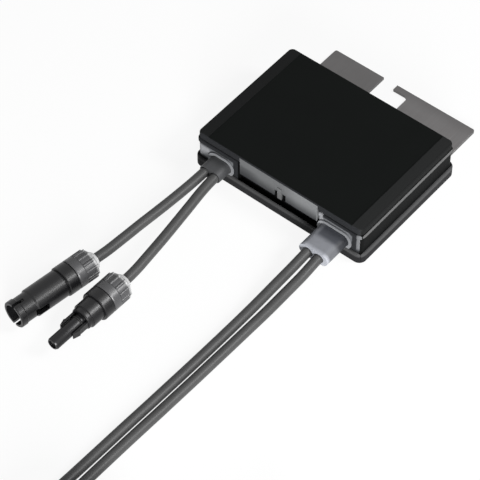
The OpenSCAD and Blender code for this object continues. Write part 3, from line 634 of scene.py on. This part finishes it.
def tie_growth():
    """A ribbed strap along each closed line round a ring, with a ratchet head at its start."""
    growth = Growth(
        "ties", ["Width", "Thickness", "Corner", "Tooth Pitch", "Head Size"], places=["Middle"]
    )
    given = growth.given
    place = growth.made("GeometryNodeInputPosition")
    away = growth.vector_math("SUBTRACT", place, given["Middle"])
    across = growth.vector_math("CROSS_PRODUCT", away, (0.0, 0.0, 1.0))
    line = growth.made("GeometryNodeMeshToCurve", None, {"Mesh": given["Geometry"]})
    line = growth.made(
        "GeometryNodeFilletCurve",
        {"mode": "POLY"},
        {"Curve": line, "Count": 4, "Radius": given["Corner"], "Limit Radius": True},
    )
    line = growth.made(
        "GeometryNodeSetCurveNormal",
        {"mode": "FREE"},
        {"Curve": line, "Normal": growth.vector_math("NORMALIZE", across)},
    )
    band = growth.made(
        "GeometryNodeCurvePrimitiveQuadrilateral",
        None,
        {"Width": given["Width"], "Height": given["Thickness"]},
    )
    strap = growth.made("GeometryNodeCurveToMesh", None, {"Curve": line, "Profile Curve": band})
    marks = growth.node(
        "GeometryNodeCurveToPoints",
        {"mode": "LENGTH"},
        {"Curve": line, "Length": given["Tooth Pitch"]},
    )
    tooth = growth.vector(
        growth.half(given["Width"]),
        growth.sum(given["Thickness"], TOOTH_RISE),
        growth.half(given["Tooth Pitch"]),
    )
    ridge = growth.made("GeometryNodeMeshCube", None, {"Size": tooth})
    ridges = growth.made(
        "GeometryNodeInstanceOnPoints",
        None,
        {
            "Points": marks.outputs["Points"],
            "Instance": ridge,
            "Rotation": marks.outputs["Rotation"],
        },
    )
    start = growth.node("GeometryNodeCurveToPoints", {"mode": "COUNT"}, {"Curve": line, "Count": 1})
    outward = growth.vector_math("MULTIPLY", away, (1.0, 1.0, 0.0))
    outward = growth.vector_math("NORMALIZE", outward)
    outward = growth.vector_math("MULTIPLY", outward, growth.half(given["Head Size"]))
    seats = growth.made(
        "GeometryNodeSetPosition", None, {"Geometry": start.outputs["Points"], "Offset": outward}
    )
    block = growth.vector(
        growth.sum(given["Width"], HEAD_OVERHANG), given["Head Size"], given["Head Size"]
    )
    head = growth.made("GeometryNodeMeshCube", None, {"Size": block})
    heads = growth.made(
        "GeometryNodeInstanceOnPoints",
        None,
        {"Points": seats, "Instance": head, "Rotation": start.outputs["Rotation"]},
    )
    return growth.end([strap, ridges, heads])


def length_property(name, default, words):
    """A length in metres with its name and description."""
    return bpy.props.FloatProperty(name=name, description=words, default=default, unit="LENGTH")


def colour_property(name, default, words):
    """A colour with its name and description."""
    return bpy.props.FloatVectorProperty(
        name=name, description=words, default=default, size=3, min=0, max=1, subtype="COLOR"
    )


class LeadSizes(bpy.types.PropertyGroup):
    """Sizes of the leads and their coil."""

    diameter: length_property("Diameter", 0.0064, "Outside of the sheath")
    outer_radius: length_property("Outer coil", 0.036, "Radius of the outer lead's turns")
    inner_radius: length_property("Inner coil", 0.028, "Radius of the inner lead's turns")
    outer_turns: bpy.props.FloatProperty(
        name="Outer turns", description="Turns of the outer lead", default=2.25
    )
    inner_turns: bpy.props.FloatProperty(
        name="Inner turns", description="Turns of the inner lead", default=3.25
    )
    spacing: length_property("Spacing", 0.0025, "Distance between a lead's points")


class FinishColours(bpy.types.PropertyGroup):
    """Base colours of the visible pieces."""

    cover: colour_property("Cover", (0.0049, 0.0056, 0.0053), "Sunk panel of the cover")
    cover_border: colour_property("Border", (0.0135, 0.014, 0.014), "Cover beside the panel")
    # Skirt and apron: painted light, the cover's front faces painted paler than its top.
    skirt: colour_property("Skirt", (0.022, 0.023, 0.025), "Cover front and walls above the glands")
    apron: colour_property("Apron", (0.130, 0.133, 0.136), "Front of the cover between the glands")
    wall: colour_property("Walls", (0.0052, 0.0055, 0.0055), "Housing frame")
    # Front, corners and arches: painted light and painted highlights, lit copies of the dark wall
    # plastic.
    front: colour_property("Front", (0.13, 0.134, 0.142), "Housing front round the glands")
    corner: colour_property("Corners", (0.145, 0.148, 0.154), "Front corners and beside the apron")
    arch: colour_property("Arches", (0.21, 0.215, 0.225), "Rims moulded round the glands")
    # Bead: a painted highlight along the bead under the seam.
    bead: colour_property("Bead", (0.10, 0.10, 0.10), "Polished bead under the seam")
    base: colour_property("Base", (0.015, 0.015, 0.016), "Base rim")
    # Ledge: a painted highlight along the base rim's upper edge.
    ledge_highlight: colour_property("Ledge", (0.054, 0.054, 0.055), "Rubbed upper edge of the base rim")
    bracket: colour_property("Bracket", (0.16, 0.155, 0.155), "Brushed steel plate")
    input_gland: colour_property("Input gland", (0.05, 0.051, 0.053), "Dark gland")
    # Output gland: painted pale for the glare on it.
    output_gland: colour_property("Output gland", (0.19, 0.196, 0.214), "Light gland")
    # Gland root: painted shade where the output gland runs into the wall.
    gland_root: colour_property("Gland root", (0.052, 0.055, 0.064), "Light gland near the wall")
    sheath: colour_property("Sheath", (0.050, 0.050, 0.050), "Lead sheath")
    plug: colour_property("Plugs", (0.004, 0.004, 0.0045), "Connector shells")
    nut: colour_property("Nuts", (0.054, 0.054, 0.056), "Connector cap nuts")
    seal: colour_property("Seals", (0.62, 0.62, 0.62), "Cable seals and their lips")


class EdgeSizes(bpy.types.PropertyGroup):
    """Rounding of the moulded and stamped edges."""

    moulded: length_property("Moulded", 0.00035, "Edge rounding of plastic pieces")
    stamped: length_property("Stamped", 0.0002, "Edge rounding of the plate")
    fine: length_property("Fine", 0.0002, "Edge rounding of connectors")


class HardwareSizes(bpy.types.PropertyGroup):
    """Sizes of the screws and the coil ties."""

    shank: length_property("Shank", 0.003, "Diameter of the housing screws")
    head_height: length_property("Head", 0.002, "Height of a pan head")
    plate_shank: length_property("Plate shank", 0.004, "Diameter of the bracket screws")
    sunk_height: length_property("Sunk head", 0.0017, "Height of a countersunk head")
    tie_width: length_property("Tie width", 0.0042, "Width of the tie straps")
    tie_thickness: length_property("Tie thickness", 0.0012, "Thickness of the tie straps")
    tie_corner: length_property("Tie corner", 0.0009, "Rounding of a strap's turns")
    tie_pitch: length_property("Tie pitch", 0.0014, "Distance between a strap's teeth")
    tie_head: length_property("Tie head", 0.0046, "Size of a strap's ratchet head")


class StudioSettings(bpy.types.PropertyGroup):
    """Camera and lamps."""

    azimuth: bpy.props.FloatProperty(
        name="Azimuth",
        description="Camera turn about Z",
        default=math.radians(39.36),
        subtype="ANGLE",
    )
    elevation: bpy.props.FloatProperty(
        name="Elevation",
        description="Camera height angle",
        default=math.radians(50.63),
        subtype="ANGLE",
    )
    eye: bpy.props.FloatVectorProperty(
        name="Eye",
        description="Camera place",
        default=(0.5491, -0.7505, 1.0615),
        subtype="TRANSLATION",
    )
    lens: bpy.props.FloatProperty(
        name="Lens", description="Focal length on a 36 mm sensor", default=173.5, unit="CAMERA"
    )
    key: bpy.props.FloatProperty(
        name="Key", description="Power of the front lamp", default=36.0, unit="POWER"
    )
    rim: bpy.props.FloatProperty(
        name="Rim", description="Power of the lamp behind", default=15.0, unit="POWER"
    )
    fill: bpy.props.FloatProperty(
        name="Fill", description="Power of the lamp above", default=2.0, unit="POWER"
    )
    ambient: bpy.props.FloatProperty(
        name="Ambient", description="Light from all round", default=0.12
    )


def link(obj):
    """Puts an object into the scene."""
    bpy.context.scene.collection.objects.link(obj)
    return obj


def dress(node, finish):
    """Gives a CAD node its finish."""
    slots = NODES[node].data.materials
    slots.clear()
    slots.append(finish.material)


def welded(node):
    """A working copy of a CAD node's mesh with its shared vertices merged."""
    form = bmesh.new()
    form.from_mesh(NODES[node].data)
    bmesh.ops.remove_doubles(form, verts=form.verts, dist=WELD)
    return form


def softened(node, finish, width):
    """A merged copy of a CAD node with its sharp edges rounded, in the node's place."""
    form = welded(node)
    bmesh.ops.dissolve_limit(form, angle_limit=FLAT, verts=form.verts, edges=form.edges)
    mesh = bpy.data.meshes.new(node + "_soft")
    form.to_mesh(mesh)
    form.free()
    if "custom_normal" in mesh.attributes:
        mesh.attributes.remove(mesh.attributes["custom_normal"])
    mesh.shade_smooth()
    mesh.materials.append(finish.material)
    piece = link(bpy.data.objects.new(node + "_soft", mesh))
    bevel = piece.modifiers.new("rounded edges", "BEVEL")
    bevel.width = width
    bevel.segments = 2
    bevel.limit_method = "ANGLE"
    bevel.angle_limit = ROUNDED_FROM
    bevel.harden_normals = True
    bevel.miter_outer = "MITER_ARC"
    return settle(piece, node)


def settle(piece, *nodes):
    """Rides on the body and takes the nodes' places."""
    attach(piece, "root")
    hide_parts(*nodes)
    slot = next(
        part["material_slot"] for part in frame["record"]["subparts"] if part["node"] == nodes[0]
    )
    return piece


def islands(node):
    """Boxes of a CAD node's separate bodies."""
    form = welded(node)
    left, boxes = set(form.verts), []
    while left:
        reached = [left.pop()]
        for vert in reached:
            near = {edge.other_vert(vert) for edge in vert.link_edges} & left
            left -= near
            reached.extend(near)
        places = [vert.co for vert in reached]
        boxes.append([Vector(map(pick, zip(*places))) for pick in (min, max)])
    form.free()
    return sorted(boxes, key=lambda box: tuple(box[0]))


def grown(name, points, edges, growth, sizes, finish):
    """Runs a growth on points and keeps the result as a plain mesh."""
    mesh = bpy.data.meshes.new(name)
    mesh.from_pydata(points, edges, [])
    piece = link(bpy.data.objects.new(name, mesh))
    modifier = piece.modifiers.new("growth", "NODES")
    modifier.node_group = growth.tree
    for socket in growth.tree.interface.items_tree:
        if socket.in_out == "INPUT" and socket.name in sizes:
            modifier[socket.identifier] = sizes[socket.name]
        elif socket.in_out == "INPUT" and socket.name == "Finish":
            modifier[socket.identifier] = finish.material
    seen = piece.evaluated_get(bpy.context.evaluated_depsgraph_get())
    whole = bpy.data.meshes.new_from_object(seen)
    piece.modifiers.remove(modifier)
    piece.data = whole
    whole.shade_smooth()
    whole.set_sharp_from_angle(angle=SHARP_FROM)
    return piece


def evenly(points, spacing):
    """Smooth line through the points, resampled at an even spacing."""
    line = [Vector(p) for p in points]
    ends = [line[0] * 2 - line[1], *line, line[-1] * 2 - line[-2]]
    dense = []
    for before, start, end, after in zip(ends, ends[1:], ends[2:], ends[3:]):
        span = (end - start).length
        leave = (end - before) * span / (span + (start - before).length)
        reach = (after - start) * span / ((after - end).length + span)
        for k in range(SMOOTH_STEPS):
            t = k / SMOOTH_STEPS
            dense.append(
                start * (2 * t**3 - 3 * t**2 + 1)
                + leave * (t**3 - 2 * t**2 + t)
                + end * (3 * t**2 - 2 * t**3)
                + reach * (t**3 - t**2)
            )
    dense.append(line[-1])
    total = sum((b - a).length for a, b in zip(dense, dense[1:]))
    count = max(2, round(total / spacing))
    even, walked, mark = [dense[0]], 0.0, 1
    for a, b in zip(dense, dense[1:]):
        length = (b - a).length
        while mark < count and walked + length >= total * mark / count:
            even.append(a.lerp(b, (total * mark / count - walked) / length))
            mark += 1
        walked += length
    even.append(dense[-1])
    return even


def coil_turns(radius, turns, start_z):
    """Turns wound from the left side of the coil, rising a pitch a turn from start_z."""
    points = []
    for k in range(round(turns * SMOOTH_STEPS) + 1):
        t = k / SMOOTH_STEPS
        angle = math.pi + t * math.tau
        dip = (COIL_START - start_z) * max(0.0, 1 - t / COIL_CLIMB)
        points.append(
            (
                COIL_MIDDLE[0] + radius * math.cos(angle),
                COIL_MIDDLE[1] + radius * math.sin(angle),
                COIL_START + t * COIL_PITCH - dip,
            )
        )
    return points


def lead(name, points, diameter, spacing, finish):
    """A round lead along the points."""
    line = evenly(points, spacing)
    data = bpy.data.curves.new(name, "CURVE")
    data.dimensions = "3D"
    spline = data.splines.new("POLY")
    spline.points.add(len(line) - 1)
    for point, place in zip(spline.points, line):
        point.co = (*place, 1.0)
    data.bevel_depth = diameter / 2
    data.bevel_resolution = 5
    data.use_fill_caps = True
    data.materials.append(finish.material)
    length = sum((b - a).length for a, b in zip(line, line[1:]))
    return link(bpy.data.objects.new(name, data)), length


class OPTIMIZER_OT_stage(bpy.types.Operator):
    """Floor, world, lamps and camera"""

    bl_idname = "optimizer.stage"
    bl_label = "Stage"

    def execute(self, context):
        studio = context.scene.optimizer_studio
        context.scene.view_settings.view_transform = "Standard"
        self.world(context.scene, studio.ambient)
        self.floor()
        self.lamp("key", studio.key, place=(1.00, -1.15, 0.50), aim=(0.0, -0.06, 0.015), size=0.6)
        self.lamp("rim", studio.rim, place=(0.95, 0.45, 0.95), aim=(0.0, -0.1, 0.015), size=0.45)
        self.lamp("fill", studio.fill, place=(0.50, 0.50, 1.30), aim=(0.0, -0.1, 0.0), size=0.45)
        data = bpy.data.cameras.new("photo_camera")
        data.lens = studio.lens
        data.sensor_width = 36.0
        camera = link(bpy.data.objects.new("photo_camera", data))
        camera.location = studio.eye
        camera.rotation_euler = (math.pi / 2 - studio.elevation, 0.0, studio.azimuth)
        context.scene.camera = camera
        return {"FINISHED"}

    @staticmethod
    def seen(graph):
        """1 where a ray comes straight from the camera, a reflection or glass."""
        path = graph.node("ShaderNodeLightPath").outputs
        rays = ("Is Camera Ray", "Is Glossy Ray", "Is Transmission Ray")
        camera, glossy, through = (Value(graph, path[name]) for name in rays)
        return camera.either(glossy).either(through)

    def world(self, scene, ambient):
        """Soft light from all round, seen as white."""
        world = bpy.data.worlds.new("studio")
        world.use_nodes = True
        graph = Graph(world.node_tree)
        soft = graph.node(
            "ShaderNodeBackground", None, {"Color": (0.95, 0.97, 1.0, 1.0), "Strength": ambient}
        )
        white = graph.node(
            "ShaderNodeBackground", None, {"Color": (1.0, 1.0, 1.0, 1.0), "Strength": 1.0}
        )
        mixed = graph.node(
            "ShaderNodeMixShader",
            None,
            {0: self.seen(graph), 1: soft.outputs[0], 2: white.outputs[0]},
        )
        graph.node("ShaderNodeOutputWorld", None, {"Surface": mixed.outputs[0]})
        scene.world = world

    def floor(self):
        """Pale paper that keeps the object's shadow."""
        mesh = bpy.data.meshes.new("floor")
        signs = ((-1, -1), (1, -1), (1, 1), (-1, 1))
        corners = [(x * FLOOR_HALF, y * FLOOR_HALF, FLOOR_Z) for x, y in signs]
        mesh.from_pydata(corners, [], [(0, 1, 2, 3)])
        floor = link(bpy.data.objects.new("floor", mesh))
        material = bpy.data.materials.new("floor_paper")
        material.use_nodes = True
        graph = Graph(material.node_tree)
        paper = graph.node("ShaderNodeBsdfDiffuse", None, {"Color": (0.85, 0.85, 0.85, 1.0)})
        white = graph.node("ShaderNodeEmission", None, {"Strength": 1.0})
        mixed = graph.node(
            "ShaderNodeMixShader",
            None,
            {0: self.seen(graph) * FLOOR_WHITE, 1: paper.outputs[0], 2: white.outputs[0]},
        )
        graph.node("ShaderNodeOutputMaterial", None, {"Surface": mixed.outputs[0]})
        mesh.materials.append(material)

    def lamp(self, name, power, place, aim, size):
        """A round soft lamp that points at aim."""
        data = bpy.data.lights.new(name, "AREA")
        data.shape = "DISK"
        data.size = size
        data.energy = power
        lamp = link(bpy.data.objects.new(name, data))
        lamp.location = place
        lamp.rotation_euler = (Vector(aim) - Vector(place)).to_track_quat("-Z", "Y").to_euler()


class OPTIMIZER_OT_connectors(bpy.types.Operator):
    """Connector shells, nuts, seals and contacts"""

    bl_idname = "optimizer.connectors"
    bl_label = "Connectors"

    def execute(self, context):
        colours = context.scene.optimizer_colours
        fine = context.scene.optimizer_edges.fine
        plug = moulded("plug_plastic", colours.plug, 0.34, 0.32, 0.5, 0.008)
        seal = soft_rubber("seal_rubber", colours.seal)
        ring = soft_rubber("ring_rubber", (0.012, 0.012, 0.012))
        contact = plated("tin_plate", (0.62, 0.62, 0.61))
        for node in [key for key in NODES if key.startswith(("in_", "out_"))]:
            if node.endswith("_shell"):
                softened(node, plug, fine)
            elif node.endswith("_nut"):
                rear, ahead = PLUG_LEADS[node.removesuffix("_nut")][-2:]
                softened(node, cap_nut(node + "_plastic", colours, rear, ahead), fine)
            elif node.endswith("_seal"):
                softened(node, seal, fine)
            else:
                dress(node, ring if node.endswith("_ring") else contact)
        return {"FINISHED"}


class OPTIMIZER_OT_leads(bpy.types.Operator):
    """Input leads, and output leads with their coil"""

    bl_idname = "optimizer.leads"
    bl_label = "Leads"

    def execute(self, context):
        sizes = context.scene.optimizer_leads
        finish = sheath(context.scene.optimizer_colours.sheath)
        outer = coil_turns(sizes.outer_radius, sizes.outer_turns, COIL_START)
        inner = coil_turns(sizes.inner_radius, sizes.inner_turns, OUTPUT_RIGHT[-1][2])
        left, right = OUTPUT_LEFT + outer + LEFT_TAIL, OUTPUT_RIGHT + inner + RIGHT_TAIL
        runs = (
            ("input_cord_left", INPUT_LEFT, INPUT_EXIT, "in_hood", "loose", ["input_lead_left"]),
            ("input_cord_right", INPUT_RIGHT, INPUT_EXIT, "in_nose", "loose", ["input_lead_right"]),
            ("output_cord_left", left, OUTPUT_EXIT, "out_hood", "coiled",
             ["output_lead_left", "output_tail_left", "lead_coil_outer"]),
            ("output_cord_right", right, OUTPUT_EXIT, "out_nose", "coiled",
             ["output_lead_right", "output_tail_right", "lead_coil_inner"]),
        )
        for name, points, exit_y, plug, lay, nodes in runs:
            cord, length = lead(name, points, sizes.diameter, sizes.spacing, finish)
            settle(cord, *nodes)
        return {"FINISHED"}


class OPTIMIZER_OT_housing(bpy.types.Operator):
    """Base, walls, cover and gasket"""

    bl_idname = "optimizer.housing"
    bl_label = "Housing"

    def execute(self, context):
        colours = context.scene.optimizer_colours
        edge = context.scene.optimizer_edges.moulded
        softened("base_tray", base_plastic(colours), edge)
        softened("housing_frame", wall_plastic(colours), edge)
        softened("top_cover", cover_plastic(colours), edge)
        dress("cover_gasket", soft_rubber("gasket_rubber", (0.01, 0.01, 0.01)))
        return {"FINISHED"}


class OPTIMIZER_OT_bracket(bpy.types.Operator):
    """Brushed steel bracket plate"""

    bl_idname = "optimizer.bracket"
    bl_label = "Bracket"

    def execute(self, context):
        tab_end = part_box("mounting_bracket")[1].y
        finish = brushed_steel(context.scene.optimizer_colours.bracket, tab_end)
        softened("mounting_bracket", finish, context.scene.optimizer_edges.stamped)
        return {"FINISHED"}


class OPTIMIZER_OT_glands(bpy.types.Operator):
    """Input and output glands"""

    bl_idname = "optimizer.glands"
    bl_label = "Glands"

    def execute(self, context):
        colours = context.scene.optimizer_colours
        edge = context.scene.optimizer_edges.moulded
        softened("input_gland", moulded("dark_gland", colours.input_gland, 0.55), edge)
        softened("output_gland", light_gland(colours), edge)
        return {"FINISHED"}


class OPTIMIZER_OT_hardware(bpy.types.Operator):
    """Screws and coil ties"""

    bl_idname = "optimizer.hardware"
    bl_label = "Hardware"

    def execute(self, context):
        sizes = context.scene.optimizer_hardware
        growth = screw_growth()
        zinc = plated("zinc_plate", (0.5, 0.5, 0.49))
        for node in ("housing_screws", "board_screws", "bracket_screws"):
            sunk = node == "bracket_screws"
            down = node == "board_screws"
            boxes = islands(node)
            low, high = boxes[0]
            radius = (high.x - low.x) / 2
            head = sizes.sunk_height if sunk else sizes.head_height
            shank = (sizes.plate_shank if sunk else sizes.shank) / 2
            ends = [((a.x + b.x) / 2, (a.y + b.y) / 2, b.z if down else a.z) for a, b in boxes]
            shape = {
                "Seat Radius": shank if sunk else radius,
                "Face Radius": radius if sunk else radius * 0.9,
                "Head Height": head,
                "Shank Radius": shank,
                "Shank Length": high.z - low.z - head,
                "Drive Points": 6 if sunk else 4,
                "Drive Outer": radius * 0.5,
                "Drive Inner": radius * (0.36 if sunk else 0.16),
                "Drive Depth": head * 0.6,
                "Turn": math.pi if down else 0.0,
            }
            settle(grown(node + "_cut", ends, [], growth, shape, zinc), node)
        self.ties(sizes, context.scene.optimizer_leads)
        return {"FINISHED"}

    def ties(self, sizes, leads):
        """Straps round the coil, on the middle line of their CAD solids."""
        points, edges = [], []
        middle = Vector(COIL_MIDDLE)
        half, spread = sizes.tie_thickness / 2, sizes.tie_width / 2
        brow = leads.inner_radius + leads.diameter / 2 + half
        for low, high in islands("coil_ties"):
            out = ((low + high) / 2).xy - middle
            out.normalize()
            reach = [abs((corner.xy - middle).dot(out)) for corner in (low, high)]
            inner, outer = min(reach) + spread + half, max(reach) - spread - half
            top = high.z - half
            shoulder = top - COIL_PITCH
            profile = [
                (outer, (half + shoulder) / 2), (outer, shoulder), (brow, top), (inner, top),
                (inner, half), (outer, half),
            ]
            first = len(points)
            points += [(*(middle + out * r), z) for r, z in profile]
            count = len(profile)
            edges += [(first + k, first + (k + 1) % count) for k in range(count)]
        shape = {
            "Width": sizes.tie_width,
            "Thickness": sizes.tie_thickness,
            "Corner": sizes.tie_corner,
            "Tooth Pitch": sizes.tie_pitch,
            "Head Size": sizes.tie_head,
            "Middle": (*COIL_MIDDLE, 0.0),
        }
        nylon = moulded("tie_nylon", (0.016, 0.016, 0.016), 0.4, 0.5)
        settle(grown("coil_straps", points, edges, tie_growth(), shape, nylon), "coil_ties")


class OPTIMIZER_OT_electronics(bpy.types.Operator):
    """Board and components inside the housing"""

    bl_idname = "optimizer.electronics"
    bl_label = "Electronics"

    def execute(self, context):
        chip = moulded("chip_resin", (0.02, 0.02, 0.02), 0.45)
        brass = plated("terminal_brass", (0.62, 0.45, 0.2))
        finishes = {
            "circuit_board": board_mask((0.02, 0.1, 0.035)),
            "thermal_pad": soft_rubber("pad_silicone", (0.3, 0.34, 0.38)),
            "inductor_core": moulded("ferrite", (0.045, 0.045, 0.047), 0.6, 0.3, 0.2),
            "inductor_winding": wound_copper((0.6, 0.25, 0.1)),
            "film_capacitors": moulded("film_case", (0.55, 0.36, 0.05), 0.3, 0.5, 0.8),
            "bulk_capacitors": moulded("can_sleeve", (0.03, 0.04, 0.12), 0.3, 0.5, 0.8),
            "power_transistors": chip,
            "control_chip": chip,
            "line_transformer": chip,
            "input_terminals": brass,
            "output_terminals": brass,
        }
        for node, finish in finishes.items():
            dress(node, finish)
        return {"FINISHED"}


class OPTIMIZER_PT_panel(bpy.types.Panel):
    """Lists the pieces in the order that they are made"""

    bl_label = "Optimizer"
    bl_idname = "OPTIMIZER_PT_panel"
    bl_space_type = "VIEW_3D"
    bl_region_type = "UI"
    bl_category = "Optimizer"

    def draw(self, context):
        for operator in OPERATORS:
            self.layout.operator(operator.bl_idname)


GROUPS = {
    "optimizer_leads": LeadSizes,
    "optimizer_colours": FinishColours,
    "optimizer_edges": EdgeSizes,
    "optimizer_hardware": HardwareSizes,
    "optimizer_studio": StudioSettings,
}
OPERATORS = (
    OPTIMIZER_OT_stage,
    OPTIMIZER_OT_connectors,
    OPTIMIZER_OT_leads,
    OPTIMIZER_OT_housing,
    OPTIMIZER_OT_bracket,
    OPTIMIZER_OT_glands,
    OPTIMIZER_OT_hardware,
    OPTIMIZER_OT_electronics,
)


def register():
    """Adds the settings, operators and panel."""
    for group in GROUPS.values():
        bpy.utils.register_class(group)
    for name, group in GROUPS.items():
        setattr(bpy.types.Scene, name, bpy.props.PointerProperty(type=group))
    for operator in OPERATORS:
        bpy.utils.register_class(operator)
    bpy.utils.register_class(OPTIMIZER_PT_panel)


def unregister():
    """Takes them away again."""
    bpy.utils.unregister_class(OPTIMIZER_PT_panel)
    for operator in reversed(OPERATORS):
        bpy.utils.unregister_class(operator)
    for name in GROUPS:
        delattr(bpy.types.Scene, name)
    for group in GROUPS.values():
        bpy.utils.unregister_class(group)


def main():
    """Makes every piece in order."""
    register()
    for operator in OPERATORS:
        family, action = operator.bl_idname.split(".")
        getattr(getattr(bpy.ops, family), action)()


if __name__ == "__main__":
    main()
